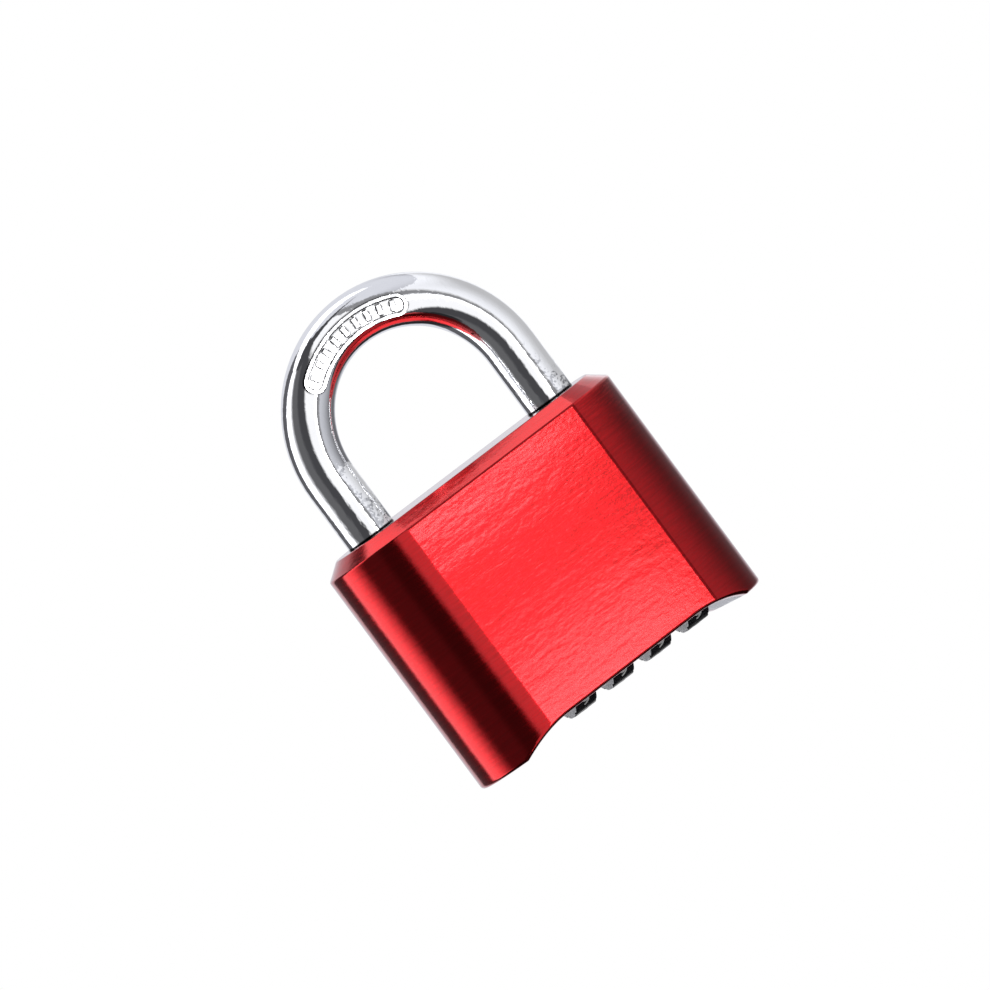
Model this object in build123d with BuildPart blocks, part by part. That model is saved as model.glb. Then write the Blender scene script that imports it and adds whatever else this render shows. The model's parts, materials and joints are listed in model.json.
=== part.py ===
"""Four-wheel combination padlock with bottom-read number wheels.

Millimetres. The origin is on the plane of the feet, under the middle of the body.
+Z runs up through the shackle, +X towards the toe (short) leg, and the front faces -Y.
"""
from build123d import *
import math
import os

os.makedirs("parts", exist_ok=True)

# ---- body casting -------------------------------------------------------------
BODY_DEPTH = 26.0
BODY_HEIGHT = 45.0
FRONT_FLAT = 36.0          # width of the ground front and back flats
END_RADIUS = 13.08         # radius of the round ends, a little over half the depth
CREASE_ROUND = 4.0         # radius along the faint crease where a flat meets a round end
TOP_BEVEL_DROP = 2.3
TOP_BEVEL_INSET = 3.0
BEVEL_ROUND = 0.5
RIM_ROUND = 0.7            # rounding of the lower outer rim
WALL = 3.0
ARCH_HEIGHT = 2.5          # height of the arched underside above the feet
ARCH_FLAT = 28.0
ARCH_FOOT = 23.8           # where the arch meets the foot, from the middle
ARCH_BELOW = 2.0           # how far the arch's cutter reaches below the feet
TOE_GAP = 0.3              # space under the toe in its blind socket

# ---- shackle --------------------------------------------------------------------
BAR_R = 4.5
LEG_X = 19.5               # half the distance between the leg axes
BOW_Z = 56.0               # height of the bow's centre
HEEL_END = 14.0
TOE_END = 36.0
LEG_FIT = 0.08             # radial running clearance of the legs
LIFT = 11.0
NECK_R = 3.0
NECK_LOW = 17.3
NECK_HIGH = 22.0
PAD_R = 18.9               # centreline radius of the stamped pad on the bow
PAD_X = -1.4               # the pad's arc is struck a little off the bow's centre
PAD_WIDTH = 3.8
PAD_HALF_ANGLE = 31.0
PAD_CENTRE_ANGLE = 96.5
PAD_PROUD = 0.05
PAD_ROOT = 1.2             # depth at which the pad starts inside the bar
PAD_RIM = 0.5
PAD_RECESS = 0.14          # depth of the pad's field below the bar's front
PAD_BARS = 9
PAD_BAR_LONG = 1.7
PAD_BAR_WIDE = 0.8
PAD_BAR_REACH = 29.0       # angle from the pad's middle to the outermost bars
PAD_BAR_SUNK = 0.02        # the bars end this far below the rim
HEEL_CHAMFER = 0.8
TOE_CHAMFER = 1.2

# ---- wheels and sleeves -----------------------------------------------------------
AXIS_Z = 8.4
WHEEL_R = 8.0
WHEEL_WIDTH = 4.5
WHEEL_RIM_ROUND = 0.3
WHEEL_PITCH = 8.2
WHEEL_PACK_X = 4.4         # middle of the wheel pack
LAND = 7.82                # distance from the axis to each digit's flat
WHEEL_BORE = 4.5
TOOTH_TIP = 4.0            # inner reach of the wheel's own teeth
COUNTERBORE_R = 5.1
DIGITS = 10
RIB_LOW = -0.95            # the wheel's toothed rib, along X from the wheel's middle
RIB_HIGH = 0.25
TOOTH_ANGLE = 18.0         # the teeth stand between the digits
WHEEL_TOOTH_GAP = 1.35     # width of the wheel's tooth gaps
GRIP_R = 0.6               # grip grooves along the rim's corners
GRIP_OUT = 0.15            # how far outside the rim their axes lie
SLEEVE_R = 3.92
SLEEVE_TOOTH_R = 4.4
SLEEVE_TOOTH_WIDTH = 1.05
TOOTH_ROOT = 0.5           # depth from a tooth's reach to the middle of its blank
CUP_OUTER = 4.9
CUP_INNER = 3.9
BOSS_R = 2.3
SPINDLE_R = 1.5
SPINDLE_FIT = 0.05
SLOT_SIDE = 0.2            # cover's clearance beside each wheel
SLOT_ROUND = 0.3           # cover's clearance around each wheel

# ---- inside -----------------------------------------------------------------------
COVER_TOP = 5.0
COVER_GAP = 0.12
MARK_Y = -7.2
MARK_LONG = 2.0
MARK_WIDE = 0.55
MARK_DEPTH = 0.3           # how far the index marks are let into the cover
MARK_PROUD = 0.1
CARRIAGE_LOW = 17.4
CARRIAGE_THICK = 3.2
STOP_GAP = 0.15
HOUSING_TOP = 12.2
PLUNGER_R = 3.0
PLUNGER_STEM_R = 2.3
SPRING_X = -16.4
SPRING_Y = 6.0
SPRING_R = 1.65
SPRING_WIRE = 0.25
PIN_R = 0.75
PIN_Z = 4.0
PIN_DEPTH = 3.4            # pin's reach beyond the wall, into the cover
RIVET_R = 0.8
RIVET_HEAD_R = 1.4
RIVET_Z = 15.8
RIVET_DEPTH = 2.0
DETENT_WIDTH = 27.0
DETENT_THICK = 0.4
DETENT_X = WHEEL_PACK_X - 1.2
FINGER_OFFSET = -0.9       # each finger stands left of its digits
FINGER_WIDTH = 2.0
SPINDLE_END = 24.4
CLIP_THICK = 0.55
CLIP_GROOVE_R = 1.3
COLLAR_X = 22.6
BEARING_X = 20.3
PLUNGER_LOW = 6.4
PLUNGER_SHOULDER = 11.2
PLUNGER_TOP = 13.8
DIGIT_STROKE = 0.36
DIGIT_PROUD = 0.06

BEVEL_LOW = BODY_HEIGHT - TOP_BEVEL_DROP
CARRIAGE_HIGH = CARRIAGE_LOW + CARRIAGE_THICK
CEILING = CARRIAGE_HIGH + LIFT + STOP_GAP
WHEEL_X = [WHEEL_PACK_X + WHEEL_PITCH * (n - 1.5) for n in range(4)]
WHEEL_AXIS = Axis((0, 0, AXIS_Z), (1, 0, 0))
END_CENTRE = FRONT_FLAT / 2 - math.sqrt(END_RADIUS**2 - (BODY_DEPTH / 2)**2)
PIN_X = [WHEEL_PACK_X - WHEEL_PITCH, WHEEL_PACK_X + WHEEL_PITCH]
RIVET_X = [WHEEL_PACK_X + turn * WHEEL_PITCH for turn in (-1.25, 0, 1.25)]
BACK = BODY_DEPTH / 2 - WALL
POCKET_FLOOR = COVER_TOP + 0.6


def body_section(height, inset=0.0):
    """Section of the body at a height, with every face moved inwards by inset.

    The ground flats cut the round ends a little short of their widest, which leaves a faint
    upright crease at each side of a flat.
    """
    radius = END_RADIUS - inset
    half_depth = BODY_DEPTH / 2 - inset
    crease = END_CENTRE + math.sqrt(radius**2 - half_depth**2)
    end = END_CENTRE + radius
    with BuildSketch(Plane.XY.offset(height)) as section:
        with BuildLine():
            ThreePointArc((crease, -half_depth), (end, 0), (crease, half_depth))
            Line((crease, half_depth), (-crease, half_depth))
            ThreePointArc((-crease, half_depth), (-end, 0), (-crease, -half_depth))
            Line((-crease, -half_depth), (crease, -half_depth))
        make_face()
        fillet(section.vertices(), CREASE_ROUND)
    return section.sketch


def is_level(edge, height):
    """True for an edge that lies wholly at one height."""
    box = edge.bounding_box()
    return abs(box.min.Z - height) < 0.01 and abs(box.max.Z - height) < 0.01


def arch_top(x):
    """Height of the arched underside at a distance x from the middle."""
    run = ARCH_FOOT - ARCH_FLAT / 2
    radius = (run**2 + ARCH_HEIGHT**2) / (2 * ARCH_HEIGHT)
    beyond = max(0.0, abs(x) - ARCH_FLAT / 2)
    return ARCH_HEIGHT - radius + math.sqrt(radius**2 - beyond**2)


# Space under the body, between the feet.
arch_mid = (ARCH_FOOT + ARCH_FLAT / 2) / 2
with BuildSketch(Plane.XZ) as arch:
    with BuildLine():
        ThreePointArc((-ARCH_FOOT, 0), (-arch_mid, arch_top(arch_mid)), (-ARCH_FLAT / 2, ARCH_HEIGHT))
        Line((-ARCH_FLAT / 2, ARCH_HEIGHT), (ARCH_FLAT / 2, ARCH_HEIGHT))
        ThreePointArc((ARCH_FLAT / 2, ARCH_HEIGHT), (arch_mid, arch_top(arch_mid)), (ARCH_FOOT, 0))
        Polyline((ARCH_FOOT, 0), (ARCH_FOOT, -ARCH_BELOW), (-ARCH_FOOT, -ARCH_BELOW), (-ARCH_FOOT, 0))
    make_face()


# ---- body shell ---------------------------------------------------------------------
with BuildPart() as body_shell:
    extrude(body_section(0), amount=BEVEL_LOW)
    loft([body_section(BEVEL_LOW), body_section(BODY_HEIGHT, TOP_BEVEL_INSET)], ruled=True)
    fillet(edges().filter_by(lambda e: is_level(e, BEVEL_LOW)), BEVEL_ROUND)
    fillet(edges().filter_by(lambda e: is_level(e, BODY_HEIGHT)), BEVEL_ROUND)
    extrude(arch.sketch, amount=BODY_DEPTH, both=True, mode=Mode.SUBTRACT)
    fillet(edges().filter_by(lambda e: e.bounding_box().max.Z < ARCH_HEIGHT + 0.01), RIM_ROUND)
    # cavity, guide bore for the heel, blind socket for the toe
    extrude(body_section(0, WALL), amount=CEILING, mode=Mode.SUBTRACT)
    with BuildSketch(Plane.XY.offset(CEILING)):
        with Locations((-LEG_X, 0)):
            Circle(BAR_R + LEG_FIT)
    extrude(amount=BODY_HEIGHT - CEILING, mode=Mode.SUBTRACT)
    with BuildSketch(Plane.XY.offset(TOE_END - TOE_GAP)):
        with Locations((LEG_X, 0)):
            Circle(BAR_R + LEG_FIT)
    extrude(amount=BODY_HEIGHT - TOE_END + TOE_GAP, mode=Mode.SUBTRACT)
    # relief behind the detent fingers
    with BuildSketch(Plane.XY.offset(COVER_TOP + 0.5)):
        with Locations((DETENT_X, BACK)):
            Rectangle(DETENT_WIDTH, 1.6)
    extrude(amount=7.0, mode=Mode.SUBTRACT)
    # holes for the cover pins and the rivets
    with BuildSketch(Plane.XZ.offset(-BODY_DEPTH / 2)):
        with Locations(*[(x, PIN_Z) for x in PIN_X]):
            Circle(PIN_R)
    extrude(amount=WALL, mode=Mode.SUBTRACT)
    with BuildSketch(Plane.XZ.offset(-BACK)):
        with Locations(*[(x, RIVET_Z) for x in RIVET_X]):
            Circle(RIVET_R)
    extrude(amount=-RIVET_DEPTH, mode=Mode.SUBTRACT)
body_shell.part.label = "body_shell"
export_step(body_shell.part, "parts/body_shell.step")


# ---- bottom cover -----------------------------------------------------------------
with BuildPart() as bottom_cover:
    extrude(body_section(0, WALL + COVER_GAP), amount=COVER_TOP)
    extrude(arch.sketch, amount=BODY_DEPTH, both=True, mode=Mode.SUBTRACT)
    for x in WHEEL_X:
        with BuildSketch(Plane.YZ.offset(x - WHEEL_WIDTH / 2 - SLOT_SIDE)):
            with Locations((0, AXIS_Z)):
                Circle(WHEEL_R + SLOT_ROUND)
        extrude(amount=WHEEL_WIDTH + 2 * SLOT_SIDE, mode=Mode.SUBTRACT)
    with BuildSketch(Plane.YZ.offset(WHEEL_X[0] - 5.4)):
        with Locations((0, AXIS_Z)):
            Circle(CUP_OUTER + 0.25)
    extrude(amount=3 * WHEEL_PITCH + 8.6, mode=Mode.SUBTRACT)
    with BuildSketch(Plane.XZ.offset(-BACK)):
        with Locations(*[(x, PIN_Z) for x in PIN_X]):
            Circle(PIN_R)
    extrude(amount=PIN_DEPTH + 0.2, mode=Mode.SUBTRACT)
    for x in WHEEL_X:
        with BuildSketch(Plane.XY.offset(arch_top(x) + MARK_DEPTH)):
            with Locations((x, MARK_Y)):
                SlotOverall(MARK_LONG, MARK_WIDE, rotation=90)
        extrude(amount=-COVER_TOP, mode=Mode.SUBTRACT)
bottom_cover.part.label = "bottom_cover"
export_step(bottom_cover.part, "parts/bottom_cover.step")

with BuildPart() as index_marks:
    for x in WHEEL_X:
        with BuildSketch(Plane.XY.offset(arch_top(x) + MARK_DEPTH)):
            with Locations((x, MARK_Y)):
                SlotOverall(MARK_LONG, MARK_WIDE, rotation=90)
        extrude(amount=-MARK_DEPTH - MARK_PROUD)
index_marks.part.label = "index_marks"
export_step(index_marks.part, "parts/index_marks.step")

with BuildPart() as cover_pins:
    with BuildSketch(Plane.XZ.offset(-BODY_DEPTH / 2)):
        with Locations(*[(x, PIN_Z) for x in PIN_X]):
            Circle(PIN_R)
    extrude(amount=WALL + PIN_DEPTH)
cover_pins.part.label = "cover_pins"
export_step(cover_pins.part, "parts/cover_pins.step")


# ---- shackle -----------------------------------------------------------------------
with BuildPart() as shackle:
    with BuildLine():
        Line((-LEG_X, 0, HEEL_END), (-LEG_X, 0, BOW_Z))
        ThreePointArc((-LEG_X, 0, BOW_Z), (0, 0, BOW_Z + LEG_X), (LEG_X, 0, BOW_Z))
        Line((LEG_X, 0, BOW_Z), (LEG_X, 0, TOE_END))
    with BuildSketch(Plane.XY.offset(HEEL_END)):
        with Locations((-LEG_X, 0)):
            Circle(BAR_R)
    sweep()
    ends = edges().filter_by(GeomType.CIRCLE).group_by(Axis.Z)
    chamfer(ends[0], HEEL_CHAMFER)
    toe_edge = edges().filter_by(GeomType.CIRCLE).filter_by(lambda e: abs(e.center().Z - TOE_END) < 0.01)
    chamfer(toe_edge, TOE_CHAMFER)
    with BuildSketch(Plane.XY.offset(NECK_LOW)):
        with Locations((-LEG_X, 0)):
            Circle(BAR_R + 1)
            Circle(NECK_R, mode=Mode.SUBTRACT)
    extrude(amount=NECK_HIGH - NECK_LOW, mode=Mode.SUBTRACT)
    # stamped pad: a flat-topped oval with a raised rim and a row of plain bars
    pad_arc = CenterArc((PAD_X, BOW_Z), PAD_R, PAD_CENTRE_ANGLE - PAD_HALF_ANGLE, 2 * PAD_HALF_ANGLE,
                        mode=Mode.PRIVATE)
    with BuildSketch(Plane.XZ.offset(BAR_R - PAD_ROOT)):
        SlotArc(pad_arc, PAD_WIDTH)
    extrude(amount=PAD_ROOT + PAD_PROUD)
    with BuildSketch(Plane.XZ.offset(BAR_R - PAD_RECESS)):
        SlotArc(pad_arc, PAD_WIDTH - 2 * PAD_RIM)
    extrude(amount=PAD_RECESS + PAD_PROUD, mode=Mode.SUBTRACT)
    with BuildSketch(Plane.XZ.offset(BAR_R - 2 * PAD_RECESS)):
        with Locations((PAD_X, BOW_Z)):
            with PolarLocations(PAD_R, PAD_BARS, start_angle=PAD_CENTRE_ANGLE - PAD_BAR_REACH,
                                angular_range=2 * PAD_BAR_REACH, endpoint=True):
                Rectangle(PAD_BAR_LONG, PAD_BAR_WIDE)
    extrude(amount=2 * PAD_RECESS + PAD_PROUD - PAD_BAR_SUNK)
shackle.part.label = "shackle"
export_step(shackle.part, "parts/shackle.step")


# ---- locking carriage ---------------------------------------------------------------
LUG_LOW = AXIS_Z + 2.5
with BuildPart() as locking_carriage:
    with BuildSketch(Plane.XY.offset(CARRIAGE_LOW)):
        add(body_section(0, WALL + 0.3))
        with Locations((-19.1, 0)):
            Rectangle(11.2, 16.6, mode=Mode.INTERSECT)
        with Locations((2.2, 0)):
            Rectangle(33.0, 6.4)
        with Locations((-LEG_X, 0)):
            Circle(NECK_R + 0.15, mode=Mode.SUBTRACT)
        with Locations((-LEG_X - 4, 0)):
            Rectangle(8, 2 * NECK_R + 0.3, mode=Mode.SUBTRACT)
    extrude(amount=CARRIAGE_THICK)
    for x in WHEEL_X:
        with BuildSketch(Plane.XY.offset(LUG_LOW)):
            with Locations((x - 4.625, 0)):
                Rectangle(1.15, 2.6)
        extrude(amount=CARRIAGE_LOW - LUG_LOW)
        with BuildSketch(Plane.XY.offset(LUG_LOW)):
            with Locations((x - 3.55, 0)):
                Rectangle(1.2, 1.8)
        extrude(amount=1.1)
locking_carriage.part.label = "locking_carriage"
export_step(locking_carriage.part, "parts/locking_carriage.step")


def coil_spring(start, direction, radius, wire, pitch, height):
    """Round-wire compression spring whose first wire centre lies on start's plane."""
    with BuildPart() as spring:
        with BuildLine():
            coil = Helix(pitch, height, radius, center=start, direction=direction)
        with BuildSketch(Plane(origin=coil @ 0, z_dir=coil % 0)):
            Circle(wire)
        sweep(is_frenet=True)
    return spring.part


for side, name in ((-1, "lift_spring_front"), (1, "lift_spring_back")):
    spring = coil_spring(
        (SPRING_X, side * SPRING_Y, POCKET_FLOOR + SPRING_WIRE), (0, 0, 1), SPRING_R, SPRING_WIRE, 1.6,
        CARRIAGE_LOW - POCKET_FLOOR - 2 * SPRING_WIRE - 0.1,
    )
    spring.label = name
    export_step(spring, f"parts/{name}.step")


# ---- reset housing and plunger ---------------------------------------------------------
with BuildPart() as reset_housing:
    with BuildSketch(Plane.XY.offset(COVER_TOP)):
        add(body_section(0, WALL + 0.2))
        with Locations((-18.45, 0)):
            Rectangle(10.1, 30, mode=Mode.INTERSECT)
    extrude(amount=HOUSING_TOP - COVER_TOP)
    with BuildSketch(Plane.XY.offset(COVER_TOP)):
        with Locations((-LEG_X, 0)):
            Circle(PLUNGER_R + 0.06)
    extrude(amount=PLUNGER_SHOULDER + 0.2 - COVER_TOP, mode=Mode.SUBTRACT)
    with BuildSketch(Plane.XY.offset(COVER_TOP)):
        with Locations((-LEG_X, 0)):
            Circle(PLUNGER_STEM_R + 0.08)
    extrude(amount=HOUSING_TOP - COVER_TOP, mode=Mode.SUBTRACT)
    with BuildSketch(Plane.YZ.offset(-LEG_X)):
        with Locations((0, AXIS_Z)):
            Circle(SPINDLE_R + SPINDLE_FIT)
    extrude(amount=8, mode=Mode.SUBTRACT)
    with BuildSketch(Plane.XY.offset(POCKET_FLOOR)):
        with Locations((SPRING_X, -SPRING_Y), (SPRING_X, SPRING_Y)):
            Circle(2.2)
    extrude(amount=HOUSING_TOP - POCKET_FLOOR, mode=Mode.SUBTRACT)
reset_housing.part.label = "reset_housing"
export_step(reset_housing.part, "parts/reset_housing.step")

# The plunger's lower right is cut away at 45 degrees, along x - z = WEDGE.
WEDGE = -LEG_X + PLUNGER_R - 10.9
with BuildPart() as reset_plunger:
    with BuildSketch(Plane.XY.offset(PLUNGER_LOW)):
        with Locations((-LEG_X, 0)):
            Circle(PLUNGER_R)
    extrude(amount=PLUNGER_SHOULDER - PLUNGER_LOW)
    with BuildSketch(Plane.XY.offset(PLUNGER_SHOULDER)):
        with Locations((-LEG_X, 0)):
            Circle(PLUNGER_STEM_R)
    extrude(amount=PLUNGER_TOP - PLUNGER_SHOULDER)
    with BuildSketch(Plane.XZ):
        Polygon((WEDGE + 10.9, 10.9), (WEDGE + 6, 6), (WEDGE + 13, 6), (WEDGE + 13, 10.9), align=None)
    extrude(amount=PLUNGER_R + 1, both=True, mode=Mode.SUBTRACT)
    fillet(edges().filter_by(GeomType.CIRCLE).sort_by(Axis.Z)[-1], 0.6)
reset_plunger.part.label = "reset_plunger"
export_step(reset_plunger.part, "parts/reset_plunger.step")


# ---- spindle, its clips, bearing and spring ----------------------------------------------
TIP_X = WEDGE + AXIS_Z + (SPINDLE_R + 0.04) * math.sqrt(2)
clip_x = [x - 4.45 for x in WHEEL_X] + [x + 1.05 for x in WHEEL_X] + [COLLAR_X]
with BuildPart() as spindle:
    with BuildSketch(Plane.XZ):
        with BuildLine():
            tip = CenterArc((TIP_X, AXIS_Z), SPINDLE_R, 90, 90)
            Polyline(tip @ 0, (SPINDLE_END - 0.3, AXIS_Z + SPINDLE_R),
                     (SPINDLE_END, AXIS_Z + SPINDLE_R - 0.3), (SPINDLE_END, AXIS_Z), tip @ 1)
        make_face()
    revolve(axis=WHEEL_AXIS)
    for x in clip_x:
        with BuildSketch(Plane.YZ.offset(x)):
            with Locations((0, AXIS_Z)):
                Circle(SPINDLE_R + 0.5)
                Circle(CLIP_GROOVE_R, mode=Mode.SUBTRACT)
        extrude(amount=CLIP_THICK, mode=Mode.SUBTRACT)
spindle.part.label = "spindle"
export_step(spindle.part, "parts/spindle.step")

with BuildPart() as spindle_clips:
    for x in clip_x:
        with BuildSketch(Plane.YZ.offset(x)):
            with Locations((0, AXIS_Z)):
                Circle(BOSS_R)
                Circle(CLIP_GROOVE_R, mode=Mode.SUBTRACT)
            with Locations((0, AXIS_Z - 2)):
                Rectangle(1.6, 4, mode=Mode.SUBTRACT)
        extrude(amount=CLIP_THICK)
spindle_clips.part.label = "spindle_clips"
export_step(spindle_clips.part, "parts/spindle_clips.step")

with BuildPart() as spindle_bearing:
    with BuildSketch(Plane.YZ.offset(BEARING_X)):
        with Locations((0, COVER_TOP)):
            Rectangle(10.4, 9, align=(Align.CENTER, Align.MIN))
        fillet(vertices().group_by(Axis.Y)[-1], 2.5)
        with Locations((0, AXIS_Z)):
            Circle(SPINDLE_R + SPINDLE_FIT, mode=Mode.SUBTRACT)
    extrude(amount=2.0)
spindle_bearing.part.label = "spindle_bearing"
export_step(spindle_bearing.part, "parts/spindle_bearing.step")

reset_spring = coil_spring((COLLAR_X + CLIP_THICK + 0.28, 0, AXIS_Z), (1, 0, 0), 1.95, 0.22, 0.8, 2.4)
reset_spring.label = "reset_spring"
export_step(reset_spring, "parts/reset_spring.step")


# ---- detent spring -------------------------------------------------------------------------
NOSE = WHEEL_R + 0.06
with BuildPart() as detent_spring:
    with BuildSketch(Plane.XZ.offset(-BACK)):
        with Locations((DETENT_X, 12.8)):
            Rectangle(DETENT_WIDTH, 5.8, align=(Align.CENTER, Align.MIN))
        with Locations(*[(x + FINGER_OFFSET, 6.8) for x in WHEEL_X]):
            Rectangle(FINGER_WIDTH, 6.4, align=(Align.CENTER, Align.MIN))
        with Locations(*[(x, RIVET_Z) for x in RIVET_X]):
            Circle(RIVET_R, mode=Mode.SUBTRACT)
    extrude(amount=DETENT_THICK)
    for x in WHEEL_X:
        with BuildSketch(Plane.YZ.offset(x + FINGER_OFFSET - FINGER_WIDTH / 2)):
            Polygon((BACK - DETENT_THICK, AXIS_Z - 1.3), (NOSE, AXIS_Z - 0.2), (NOSE, AXIS_Z + 0.2),
                    (BACK - DETENT_THICK, AXIS_Z + 1.3), align=None)
        extrude(amount=FINGER_WIDTH)
detent_spring.part.label = "detent_spring"
export_step(detent_spring.part, "parts/detent_spring.step")

with BuildPart() as detent_rivets:
    with BuildSketch(Plane.XZ.offset(-BACK + DETENT_THICK)):
        with Locations(*[(x, RIVET_Z) for x in RIVET_X]):
            Circle(RIVET_HEAD_R)
    extrude(amount=0.5)
    with BuildSketch(Plane.XZ.offset(-BACK - RIVET_DEPTH)):
        with Locations(*[(x, RIVET_Z) for x in RIVET_X]):
            Circle(RIVET_R)
    extrude(amount=RIVET_DEPTH + DETENT_THICK)
detent_rivets.part.label = "detent_rivets"
export_step(detent_rivets.part, "parts/detent_rivets.step")


# ---- number wheels, digits and code sleeves ---------------------------------------------------
def number_wheel(x):
    """Number wheel with ten digit flats, grip grooves and a toothed bore."""
    with BuildPart() as wheel:
        with BuildSketch(Plane.YZ.offset(x - WHEEL_WIDTH / 2)):
            with Locations((0, AXIS_Z)):
                Circle(WHEEL_R)
        extrude(amount=WHEEL_WIDTH)
        fillet(edges().filter_by(GeomType.CIRCLE), WHEEL_RIM_ROUND)
        with BuildSketch(Plane.YZ.offset(x - WHEEL_WIDTH / 2)):
            with Locations((0, AXIS_Z)):
                RegularPolygon(LAND, DIGITS, major_radius=False)
        extrude(amount=WHEEL_WIDTH, mode=Mode.INTERSECT)
        with BuildSketch(Plane.YZ.offset(x - WHEEL_WIDTH / 2)):
            with Locations((0, AXIS_Z)):
                with PolarLocations(WHEEL_R + GRIP_OUT, DIGITS):
                    Circle(GRIP_R)
        extrude(amount=WHEEL_WIDTH, mode=Mode.SUBTRACT)
        with BuildSketch(Plane.YZ.offset(x - WHEEL_WIDTH / 2)):
            with Locations((0, AXIS_Z)):
                Circle(COUNTERBORE_R)
        extrude(amount=WHEEL_WIDTH / 2 + RIB_LOW, mode=Mode.SUBTRACT)
        with BuildSketch(Plane.YZ.offset(x + RIB_LOW)):
            with Locations((0, AXIS_Z)):
                Circle(TOOTH_TIP)
                with PolarLocations(WHEEL_BORE - TOOTH_ROOT, DIGITS, start_angle=TOOTH_ANGLE):
                    Rectangle(2 * TOOTH_ROOT, WHEEL_TOOTH_GAP)
        extrude(amount=RIB_HIGH - RIB_LOW, mode=Mode.SUBTRACT)
        with BuildSketch(Plane.YZ.offset(x + RIB_HIGH)):
            with Locations((0, AXIS_Z)):
                Circle(WHEEL_BORE)
        extrude(amount=WHEEL_WIDTH / 2 - RIB_HIGH, mode=Mode.SUBTRACT)
    return wheel.part


def code_sleeve(x):
    """Sleeve with ten outer teeth and a cup whose rim has one gate, at the top."""
    with BuildPart() as sleeve:
        with BuildSketch(Plane.YZ.offset(x - 3.85)):
            with Locations((0, AXIS_Z)):
                Circle(CUP_OUTER)
                Circle(CUP_INNER, mode=Mode.SUBTRACT)
            with Locations((0, AXIS_Z + CUP_OUTER)):
                Rectangle(2.6, 4, mode=Mode.SUBTRACT)
            with Locations((0, AXIS_Z)):
                Circle(BOSS_R)
        extrude(amount=1.1)
        with BuildSketch(Plane.YZ.offset(x - 2.75)):
            with Locations((0, AXIS_Z)):
                Circle(CUP_OUTER)
        extrude(amount=0.5)
        with BuildSketch(Plane.YZ.offset(x - 2.25)):
            with Locations((0, AXIS_Z)):
                Circle(SLEEVE_R)
        extrude(amount=3.25)
        with BuildSketch(Plane.YZ.offset(x - 0.75)):
            with Locations((0, AXIS_Z)):
                Circle(SLEEVE_R)
                with PolarLocations(SLEEVE_TOOTH_R - TOOTH_ROOT, DIGITS, start_angle=TOOTH_ANGLE):
                    Rectangle(2 * TOOTH_ROOT, SLEEVE_TOOTH_WIDTH)
        extrude(amount=0.95)
        with BuildSketch(Plane.YZ.offset(x - 5)):
            with Locations((0, AXIS_Z)):
                Circle(SPINDLE_R + SPINDLE_FIT)
        extrude(amount=8, mode=Mode.SUBTRACT)
    return sleeve.part


def stroke(*points):
    """Straight round-ended strokes from point to point."""
    for start, end in zip(points, points[1:]):
        run = Vector(*end) - Vector(*start)
        with Locations((Vector(*start) + Vector(*end)) / 2):
            SlotCenterToCenter(run.length, DIGIT_STROKE, rotation=math.degrees(math.atan2(run.Y, run.X)))


def bend(start, middle, end):
    """Round-ended stroke along the arc through three points."""
    SlotArc(ThreePointArc(start, middle, end, mode=Mode.PRIVATE), DIGIT_STROKE)


def ring(height, radius):
    """Closed round stroke."""
    bend((-radius, height), (0, height + radius), (radius, height))
    bend((-radius, height), (0, height - radius), (radius, height))


def draw_digit(digit):
    """One numeral, about 1.2 wide and 2 high between stroke centres, about the origin."""
    if digit == 0:
        bend((-0.58, 0.42), (0, 1.0), (0.58, 0.42))
        bend((-0.58, -0.42), (0, -1.0), (0.58, -0.42))
        stroke((-0.58, 0.42), (-0.58, -0.42))
        stroke((0.58, 0.42), (0.58, -0.42))
    elif digit == 1:
        stroke((-0.42, 0.6), (0.06, 1.0), (0.06, -1.0))
    elif digit == 2:
        bend((-0.58, 0.5), (0, 1.0), (0.56, 0.3))
        stroke((0.56, 0.3), (-0.58, -1.0), (0.62, -1.0))
    elif digit == 3:
        bend((-0.52, 0.74), (0.52, 0.52), (-0.12, 0.06))
        bend((-0.12, 0.06), (0.6, -0.48), (-0.58, -0.7))
    elif digit == 4:
        stroke((0.28, -1.0), (0.28, 1.0), (-0.6, -0.42), (0.66, -0.42))
    elif digit == 5:
        stroke((0.54, 1.0), (-0.44, 1.0), (-0.5, 0.12))
        bend((-0.5, 0.12), (0.58, -0.36), (-0.56, -0.78))
    elif digit == 7:
        stroke((-0.6, 1.0), (0.6, 1.0), (-0.18, -1.0))
    elif digit == 8:
        ring(0.52, 0.48)
        ring(-0.44, 0.56)
    else:
        turn = 1 if digit == 6 else -1
        ring(-0.42 * turn, 0.58)
        bend((-0.58 * turn, -0.42 * turn), (-0.38 * turn, 0.44 * turn), (0.34 * turn, turn))


def digit_sketch(digit):
    """The finished outline of one numeral."""
    with BuildSketch() as glyph:
        draw_digit(digit)
    return glyph.sketch


glyphs = [digit_sketch(digit) for digit in range(DIGITS)]


def wheel_digits(x):
    """The ten numerals of one wheel, upright when read from below the front edge."""
    with BuildPart() as digits:
        for digit in range(DIGITS):
            angle = math.radians(270 + 36 * digit)
            outward = (0, math.cos(angle), math.sin(angle))
            origin = (x, LAND * outward[1], AXIS_Z + LAND * outward[2])
            with BuildSketch(Plane(origin=origin, x_dir=(1, 0, 0), z_dir=outward)):
                add(glyphs[digit])
            extrude(amount=DIGIT_PROUD)
    return digits.part


for number, x in enumerate(WHEEL_X, start=1):
    wheel = number_wheel(x)
    wheel.label = f"number_wheel_{number}"
    export_step(wheel, f"parts/number_wheel_{number}.step")
    sleeve = code_sleeve(x)
    sleeve.label = f"code_sleeve_{number}"
    export_step(sleeve, f"parts/code_sleeve_{number}.step")
    digits = wheel_digits(x)
    digits.label = f"wheel_digits_{number}"
    export_step(digits, f"parts/wheel_digits_{number}.step")
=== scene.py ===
import json
import math

import bpy
from mathutils import Matrix, Vector


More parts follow.
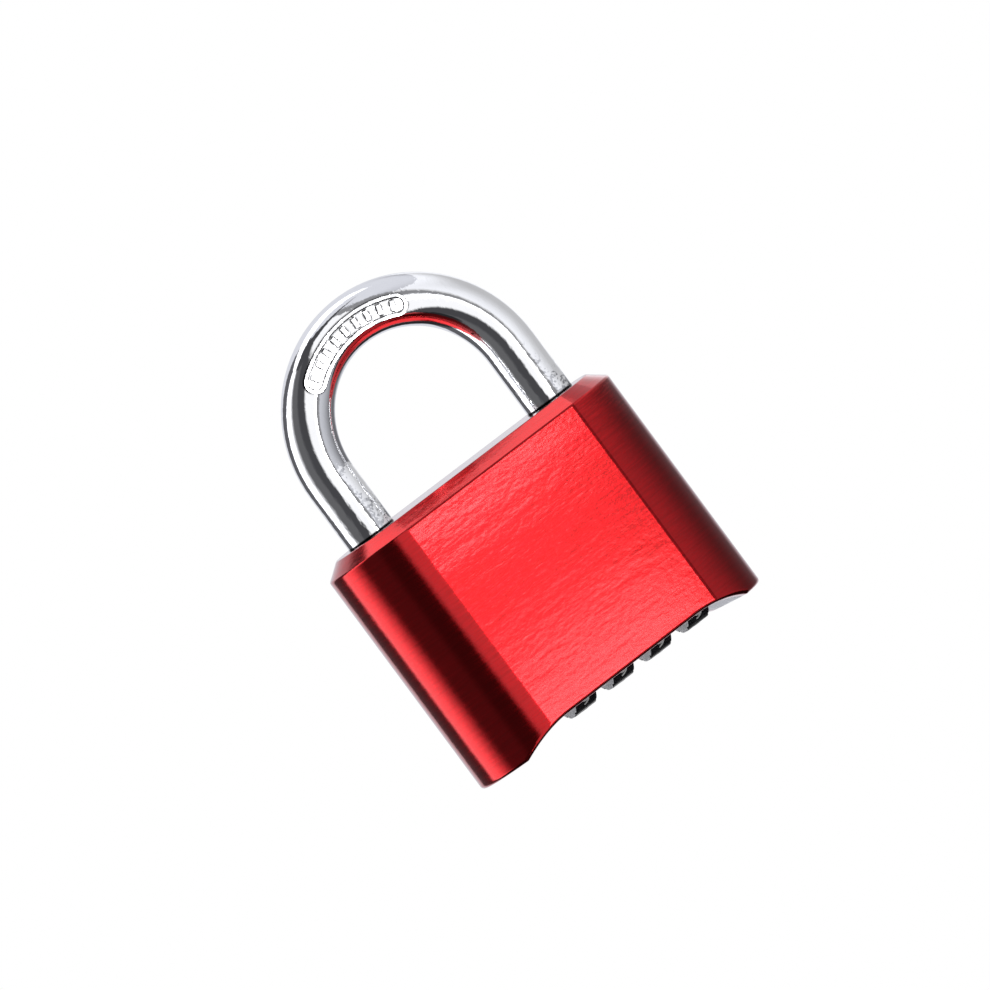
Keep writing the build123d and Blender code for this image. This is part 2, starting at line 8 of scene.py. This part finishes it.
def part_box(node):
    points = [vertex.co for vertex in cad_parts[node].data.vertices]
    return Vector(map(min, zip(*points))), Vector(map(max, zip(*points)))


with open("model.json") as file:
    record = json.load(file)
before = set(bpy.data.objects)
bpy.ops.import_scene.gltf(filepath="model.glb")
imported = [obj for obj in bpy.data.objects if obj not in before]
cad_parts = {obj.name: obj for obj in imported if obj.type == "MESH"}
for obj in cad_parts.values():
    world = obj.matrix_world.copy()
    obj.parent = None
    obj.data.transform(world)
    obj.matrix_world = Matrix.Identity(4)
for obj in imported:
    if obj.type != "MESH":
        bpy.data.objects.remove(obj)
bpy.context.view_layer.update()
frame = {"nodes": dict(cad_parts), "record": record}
scene = bpy.context.scene
scene.view_settings.view_transform = "Standard"

MM = 0.001
NOISE_LOW, NOISE_HIGH = 0.3, 0.7      # most of a noise texture's values lie between these

# ---- camera --------------------------------------------------------------------
CAMERA_TURN = math.radians(-17.5)     # the camera stands towards the object's left
CAMERA_RISE = math.radians(2.33)
CAMERA_ROLL = math.radians(-36.5)     # makes the lock lean to the left
CAMERA_DISTANCE = 3.0
SENSOR_WIDTH = 36.0                   # millimetres
FRAME_SIZE = 0.16445                  # width of the view at the lock
AIM_RIGHT = 0.0027                    # how far the view's axis passes the lock's middle
AIM_DOWN = 0.0005


def make_camera():
    """Long-lens camera, turned to the left, a little raised, and rolled."""
    low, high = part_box("body_shell")
    middle = Vector(((low.x + high.x) / 2, (low.y + high.y) / 2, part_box("shackle")[1].z / 2))
    towards = Vector((
        math.sin(CAMERA_TURN) * math.cos(CAMERA_RISE),
        -math.cos(CAMERA_TURN) * math.cos(CAMERA_RISE),
        math.sin(CAMERA_RISE),
    ))
    data = bpy.data.cameras.new("camera")
    data.sensor_width = SENSOR_WIDTH
    data.lens = data.sensor_width * CAMERA_DISTANCE / FRAME_SIZE
    camera = bpy.data.objects.new("camera", data)
    scene.collection.objects.link(camera)
    turn = towards.to_track_quat("Z", "Y").to_matrix() @ Matrix.Rotation(CAMERA_ROLL, 3, "Z")
    aim = middle + turn @ Vector((AIM_RIGHT, -AIM_DOWN, 0))
    camera.matrix_world = Matrix.Translation(aim + towards * CAMERA_DISTANCE) @ turn.to_4x4()
    scene.camera = camera


# ---- node helpers -----------------------------------------------------------------
class Graph:
    """Short calls for building a node tree."""

    def __init__(self, tree):
        self.tree = tree

    def node(self, kind, **settings):
        made = self.tree.nodes.new(kind)
        for name, value in settings.items():
            setattr(made, name, value)
        return made

    def put(self, socket, value):
        if isinstance(value, bpy.types.NodeSocket):
            self.tree.links.new(value, socket)
        else:
            socket.default_value = value

    def math(self, operation, *values):
        made = self.node("ShaderNodeMath", operation=operation)
        for socket, value in zip(made.inputs, values):
            self.put(socket, value)
        return made.outputs[0]

    def ramp(self, value, start, end, low=0.0, high=1.0):
        """Smooth step from low to high as value runs from start to end."""
        made = self.node("ShaderNodeMapRange", interpolation_type="SMOOTHSTEP", clamp=True)
        for socket, number in zip(made.inputs, (value, start, end, low, high)):
            self.put(socket, number)
        return made.outputs[0]

    def between(self, value, rise, fall):
        """One where value has passed the rise and not yet the fall, zero outside."""
        return self.math("MULTIPLY", self.ramp(value, *rise), self.ramp(value, *fall))

    def spread(self, noise, low=0.0, high=1.0):
        """A noise stretched to run from low to high."""
        return self.ramp(noise, NOISE_LOW, NOISE_HIGH, low, high)

    def mix(self, factor, first, second):
        made = self.node("ShaderNodeMix", data_type="RGBA")
        self.put(made.inputs[0], factor)
        self.put(made.inputs[6], first)
        self.put(made.inputs[7], second)
        return made.outputs[2]

    def noise(self, vector, scale, detail=3.0, roughness=0.5):
        made = self.node("ShaderNodeTexNoise")
        self.put(made.inputs["Vector"], vector)
        self.put(made.inputs["Scale"], scale)
        self.put(made.inputs["Detail"], detail)
        self.put(made.inputs["Roughness"], roughness)
        return made.outputs["Fac"]

    def stretched(self, scale):
        """Object coordinates, scaled along each axis."""
        place = self.node("ShaderNodeTexCoord")
        mapping = self.node("ShaderNodeMapping")
        self.put(mapping.inputs["Vector"], place.outputs["Object"])
        self.put(mapping.inputs["Scale"], scale)
        return mapping.outputs["Vector"]

    def split(self, coordinates):
        """The x, y and z of the named texture coordinates."""
        place = self.node("ShaderNodeTexCoord")
        parts = self.node("ShaderNodeSeparateXYZ")
        self.put(parts.inputs[0], place.outputs[coordinates])
        return parts.outputs

    def bump(self, height, strength, distance, under=None):
        """Normal raised by height, over the normal of a coarser bump if there is one."""
        made = self.node("ShaderNodeBump")
        self.put(made.inputs["Height"], height)
        self.put(made.inputs["Strength"], strength)
        self.put(made.inputs["Distance"], distance)
        if under is not None:
            self.put(made.inputs["Normal"], under)
        return made.outputs["Normal"]


def new_material(name):
    """A material, a graph for its node tree, and its shader."""
    material = bpy.data.materials.new(name)
    material.use_nodes = True
    graph = Graph(material.node_tree)
    shader = material.node_tree.nodes["Principled BSDF"]
    return material, graph, shader


# ---- light ---------------------------------------------------------------------------
# Radiance of the studio's surfaces. Angles here are in degrees: azimuth is 0 at the object's
# front and grows towards its right, and height is 90 overhead.
WHITE = (1.02, 1.02, 1.03, 1)
PALE = (0.72, 0.73, 0.78, 1)
DIM = (0.11, 0.11, 0.12, 1)
DARK = (0.06, 0.06, 0.065, 1)
OPENING = (0.12, 0.12, 0.125, 1)      # the front part of the opening at the left
STRIP = (2.1, 2.1, 2.15, 1)
PANEL_BACK = (1.9, 1.9, 1.92, 1)
UNDERSIDE = (0.02, 0.02, 0.022, 1)
RIGHT_NEAR = (0.58, 0.59, 0.63, 1)
RIGHT_FAR = (0.15, 0.15, 0.16, 1)
BOX_FRAME = (0.26, 0.26, 0.27, 1)
SEEN_BY_CAMERA = (1, 1, 1, 1)


def studio_sides(graph, azimuth, height):
    """Walls of the studio, from the front box round to the back on both sides."""
    # right side: falls off from grey to dim, and the back wall beyond it is pale
    falling = graph.mix(graph.ramp(azimuth, 30, 100), RIGHT_NEAR, RIGHT_FAR)
    right = graph.mix(graph.ramp(azimuth, 125, 155), falling, PALE)
    right = graph.mix(graph.ramp(height, 22, 45), right, PALE)
    # front box, with the grey frame at its right edge
    sides = graph.mix(graph.ramp(azimuth, 20, 22), WHITE, right)
    sides = graph.mix(graph.between(azimuth, (20, 21.5), (35, 30)), sides, BOX_FRAME)
    # left side: dark opening, then a narrow strip light, then the dim back corner
    inside = graph.mix(graph.ramp(azimuth, -56, -42), OPENING, DARK)
    sides = graph.mix(graph.between(azimuth, (-124, -118), (-12, -22)), sides, inside)
    sides = graph.mix(graph.between(azimuth, (-132, -124), (-78, -114)), sides, STRIP)
    sides = graph.mix(graph.between(azimuth, (-168, -160), (-124, -132)), sides, DIM)
    return graph.mix(graph.ramp(azimuth, -160, -168), sides, PALE)


def make_world():
    """White tent with an open, dark side at the left, that the camera sees as plain white."""
    world = bpy.data.worlds.new("studio")
    scene.world = world
    world.use_nodes = True
    graph = Graph(world.node_tree)
    background = world.node_tree.nodes["Background"]
    x, y, z = graph.split("Generated")
    azimuth = graph.math("ARCTAN2", x, graph.math("MULTIPLY", y, -1.0))
    azimuth = graph.math("DEGREES", azimuth)
    height = graph.math("DEGREES", graph.math("ARCSINE", z))
    sides = studio_sides(graph, azimuth, height)
    # a dark gap below the overhead panel: wide over the left side, closing towards the right
    gap_top = graph.ramp(azimuth, -30, 95, 84, 63)
    above = graph.math("SUBTRACT", height, gap_top)
    sky = graph.mix(graph.ramp(height, 64, 67), sides, DARK)
    sky = graph.mix(graph.ramp(above, -2, 1), sky, PALE)
    # the panel is brighter past the zenith, towards the back
    past = graph.math("MULTIPLY", graph.ramp(height, 58, 64), graph.ramp(y, 0.05, 0.12))
    sky = graph.mix(past, sky, PANEL_BACK)
    # nothing lit below: the dark underside starts 34 degrees down, and 64 degrees down ahead
    ahead = graph.between(azimuth, (-60, -30), (70, 40))
    lowest = graph.math("ADD", height, graph.math("MULTIPLY", ahead, 30.0))
    light = graph.mix(graph.ramp(lowest, -34, -42), sky, UNDERSIDE)
    seen = graph.node("ShaderNodeLightPath").outputs["Is Camera Ray"]
    graph.put(background.inputs["Color"], graph.mix(seen, light, SEEN_BY_CAMERA))


def area_light(name, place, target, size, radiance):
    """Rectangular soft light of a given radiance that the camera doesn't see."""
    data = bpy.data.lights.new(name, "AREA")
    data.shape = "RECTANGLE"
    data.size, data.size_y = size
    data.energy = radiance * math.pi * size[0] * size[1]
    light = bpy.data.objects.new(name, data)
    scene.collection.objects.link(light)
    aim = Vector(place) - Vector(target)
    light.matrix_world = Matrix.Translation(place) @ aim.to_track_quat("Z", "Y").to_matrix().to_4x4()
    light.visible_camera = False


# Soft boxes ahead of the lock that its flat face reflects, one high and two low that overlap:
# name, distance ahead, height of the middle, height of the box, radiance
FRONT_BOXES = (
    ("front_high", 0.35, 0.044, 0.035, 7.0),
    ("front_low", 0.35, -0.101, 0.20, 2.1),
    ("front_lowest", 0.34, -0.109, 0.20, 3.2),
)
BOX_RIGHT = 0.094
BOX_WIDTH = 0.058
SIDE_PANEL = (0.20, 0.0, 0.138)
SIDE_PANEL_SIZE = (0.7, 0.2)
SIDE_PANEL_RADIANCE = 0.38


def make_lights():
    """The soft boxes ahead, and a wide, dim panel at the right that faces the lock."""
    for name, ahead, middle, tall, radiance in FRONT_BOXES:
        place = (BOX_RIGHT, -ahead, middle)
        area_light(name, place, (BOX_RIGHT, 0.0, middle), (BOX_WIDTH, tall), radiance)
    target = (0.0, *SIDE_PANEL[1:])
    area_light("right_upper", SIDE_PANEL, target, SIDE_PANEL_SIZE, SIDE_PANEL_RADIANCE)


FLOOR_RADIUS = 0.5
FLOOR_HEIGHT = -0.12
FLOOR_TONES = (0.88, 0.88, 0.88, 1), (0.92, 0.92, 0.92, 1)


def make_floor():
    """Pale disc below the lock, one-sided so that it can be seen through from below."""
    material, graph, shader = new_material("pale_floor")
    shader.inputs["Roughness"].default_value = 0.7
    tone = graph.noise(graph.stretched((1, 1, 1)), 3.0)
    graph.put(shader.inputs["Base Color"], graph.mix(tone, *FLOOR_TONES))
    clear = graph.node("ShaderNodeBsdfTransparent")
    blend = graph.node("ShaderNodeMixShader")
    graph.put(blend.inputs[0], graph.node("ShaderNodeNewGeometry").outputs["Backfacing"])
    graph.put(blend.inputs[1], shader.outputs[0])
    graph.put(blend.inputs[2], clear.outputs[0])
    graph.put(material.node_tree.nodes["Material Output"].inputs["Surface"], blend.outputs[0])
    bpy.ops.mesh.primitive_circle_add(
        vertices=96, radius=FLOOR_RADIUS, fill_type="NGON", location=(0, 0, FLOOR_HEIGHT)
    )
    floor = bpy.context.object
    floor.name = "floor"
    floor.data.materials.append(material)
    floor.visible_glossy = False


# ---- materials ------------------------------------------------------------------------
def red_lacquer():
    """Candy red over a cast, linished metal: streaky ripple under a gloss coat."""
    material, graph, shader = new_material("red_lacquer")
    streaks = graph.noise(graph.stretched((170, 170, 2200)), 1.0, 4.0, 0.6)
    peel = graph.noise(graph.stretched((900, 900, 1300)), 1.0, 2.0)
    waves = graph.noise(graph.stretched((110, 110, 420)), 1.0, 2.0)
    deep = (0.45, 0.0015, 0.004, 1)
    clear = (0.55, 0.002, 0.006, 1)
    graph.put(shader.inputs["Base Color"], graph.mix(graph.spread(streaks), deep, clear))
    graph.put(shader.inputs["Roughness"], graph.spread(streaks, 0.12, 0.18))
    shader.inputs["Metallic"].default_value = 1.0
    shader.inputs["Coat Weight"].default_value = 1.0
    shader.inputs["Coat Roughness"].default_value = 0.1
    shader.inputs["Coat IOR"].default_value = 1.34
    ripple = graph.bump(waves, 0.12, 0.2 * MM)
    ripple = graph.bump(streaks, 0.05, 0.1 * MM, ripple)
    ripple = graph.bump(peel, 0.4, 0.03 * MM, ripple)
    graph.put(shader.inputs["Coat Normal"], ripple)
    graph.put(shader.inputs["Normal"], graph.bump(streaks, 0.1, 0.1 * MM, ripple))
    return material


ROUGH_FROM, ROUGH_FULL = 66 * MM, 46 * MM     # heights on the legs where the plating roughens


def chrome():
    """Bright plating over a lightly uneven bar, with painted shade: a near-black base colour in the
    corners of the stamping.
    """
    material, graph, shader = new_material("chrome")
    waves = graph.noise(graph.stretched((160, 160, 120)), 1.0, 3.0, 0.6)
    pits = graph.noise(graph.stretched((1400, 1400, 900)), 1.0, 2.0)
    lumps = graph.noise(graph.stretched((700, 700, 420)), 1.0, 2.0)
    plating = graph.mix(graph.spread(waves), (0.93, 0.935, 0.955, 1), (0.98, 0.985, 1.0, 1))
    # painted shade: ambient occlusion turns the base colour near-black in the corners and recesses
    # of the stamping
    corners = graph.node("ShaderNodeAmbientOcclusion", samples=16)
    corners.inputs["Distance"].default_value = 0.45 * MM
    unshaded = graph.ramp(corners.outputs["AO"], 0.84, 0.995)
    graph.put(shader.inputs["Base Color"], graph.mix(unshaded, (0.005, 0.005, 0.006, 1), plating))
    graph.put(shader.inputs["Roughness"], graph.ramp(pits, 0.35, 0.75, 0.03, 0.09))
    shader.inputs["Metallic"].default_value = 1.0
    rough = graph.ramp(graph.split("Object")[2], ROUGH_FROM, ROUGH_FULL, 0.0, 0.5)
    finish = graph.bump(waves, 0.2, 0.2 * MM)
    finish = graph.bump(graph.ramp(pits, 0.45, 0.7), 0.15, 0.02 * MM, finish)
    graph.put(shader.inputs["Normal"], graph.bump(lumps, rough, 0.15 * MM, finish))
    return material


def painted_wheel():
    """Black paint on the rim of a bright metal wheel whose side faces are bare."""
    material, graph, shader = new_material("black_wheel")
    sideways = graph.math("ABSOLUTE", graph.split("Normal")[0])
    bare = graph.ramp(sideways, 0.9, 0.99)
    grain = graph.noise(graph.stretched((1200, 1200, 1200)), 1.0, 3.0)
    paint = graph.mix(graph.spread(grain), (0.004, 0.004, 0.005, 1), (0.010, 0.010, 0.011, 1))
    graph.put(shader.inputs["Base Color"], graph.mix(bare, paint, (0.66, 0.66, 0.67, 1)))
    graph.put(shader.inputs["Roughness"], graph.ramp(bare, 0, 1, 0.12, 0.4))
    graph.put(shader.inputs["Normal"], graph.bump(grain, 0.1, 0.03 * MM))
    return material


METAL = {"metallic": 1.0, "detail": 4.0, "grit": 0.6, "relief": 0.3}
FILLED_PAINT = {"metallic": 0.0, "detail": 3.0, "grit": 0.5, "relief": 0.2}

# Tones are from the darkest to the brightest of the grain, and a larger scale is a finer grain:
# slot, kind, dark tone, bright tone, roughness, scale along each axis
PLAIN_FINISHES = (
    ("white_fill", FILLED_PAINT, (0.28, 0.28, 0.27), (0.38, 0.38, 0.37), 0.5, (3000, 3000, 3000)),
    ("cover_metal", METAL, (0.70, 0.70, 0.71), (0.84, 0.84, 0.85), 0.35, (400, 400, 400)),
    ("steel", METAL, (0.42, 0.42, 0.43), (0.6, 0.6, 0.61), 0.3, (300, 300, 2400)),
    ("spring_steel", METAL, (0.3, 0.3, 0.31), (0.45, 0.45, 0.46), 0.25, (1500, 1500, 1500)),
    ("brass", METAL, (0.62, 0.42, 0.14), (0.8, 0.58, 0.24), 0.25, (2400, 500, 500)),
)


def plain_finish(name, kind, dark, bright, roughness, scale):
    """Metal or filled paint with a fine grain in its tone, its roughness and its relief."""
    material, graph, shader = new_material(name)
    grain = graph.noise(graph.stretched(scale), 1.0, kind["detail"], kind["grit"])
    graph.put(shader.inputs["Base Color"], graph.mix(graph.spread(grain), (*dark, 1), (*bright, 1)))
    graph.put(shader.inputs["Roughness"], graph.spread(grain, roughness * 0.8, roughness * 1.2))
    shader.inputs["Metallic"].default_value = kind["metallic"]
    graph.put(shader.inputs["Normal"], graph.bump(grain, kind["relief"], 0.03 * MM))
    return material


def dress_nodes():
    """Gives each CAD node the material of its slot."""
    looks = {"red_lacquer": red_lacquer(), "chrome": chrome(), "black_wheel": painted_wheel()}
    for finish in PLAIN_FINISHES:
        looks[finish[0]] = plain_finish(*finish)
    for entry in frame["record"]["subparts"]:
        node = frame["nodes"][entry["node"]]
        node.data.materials.clear()
        node.data.materials.append(looks[entry["material_slot"]])
        for polygon in node.data.polygons:
            polygon.material_index = 0


make_camera()
make_world()
make_lights()
make_floor()
dress_nodes()
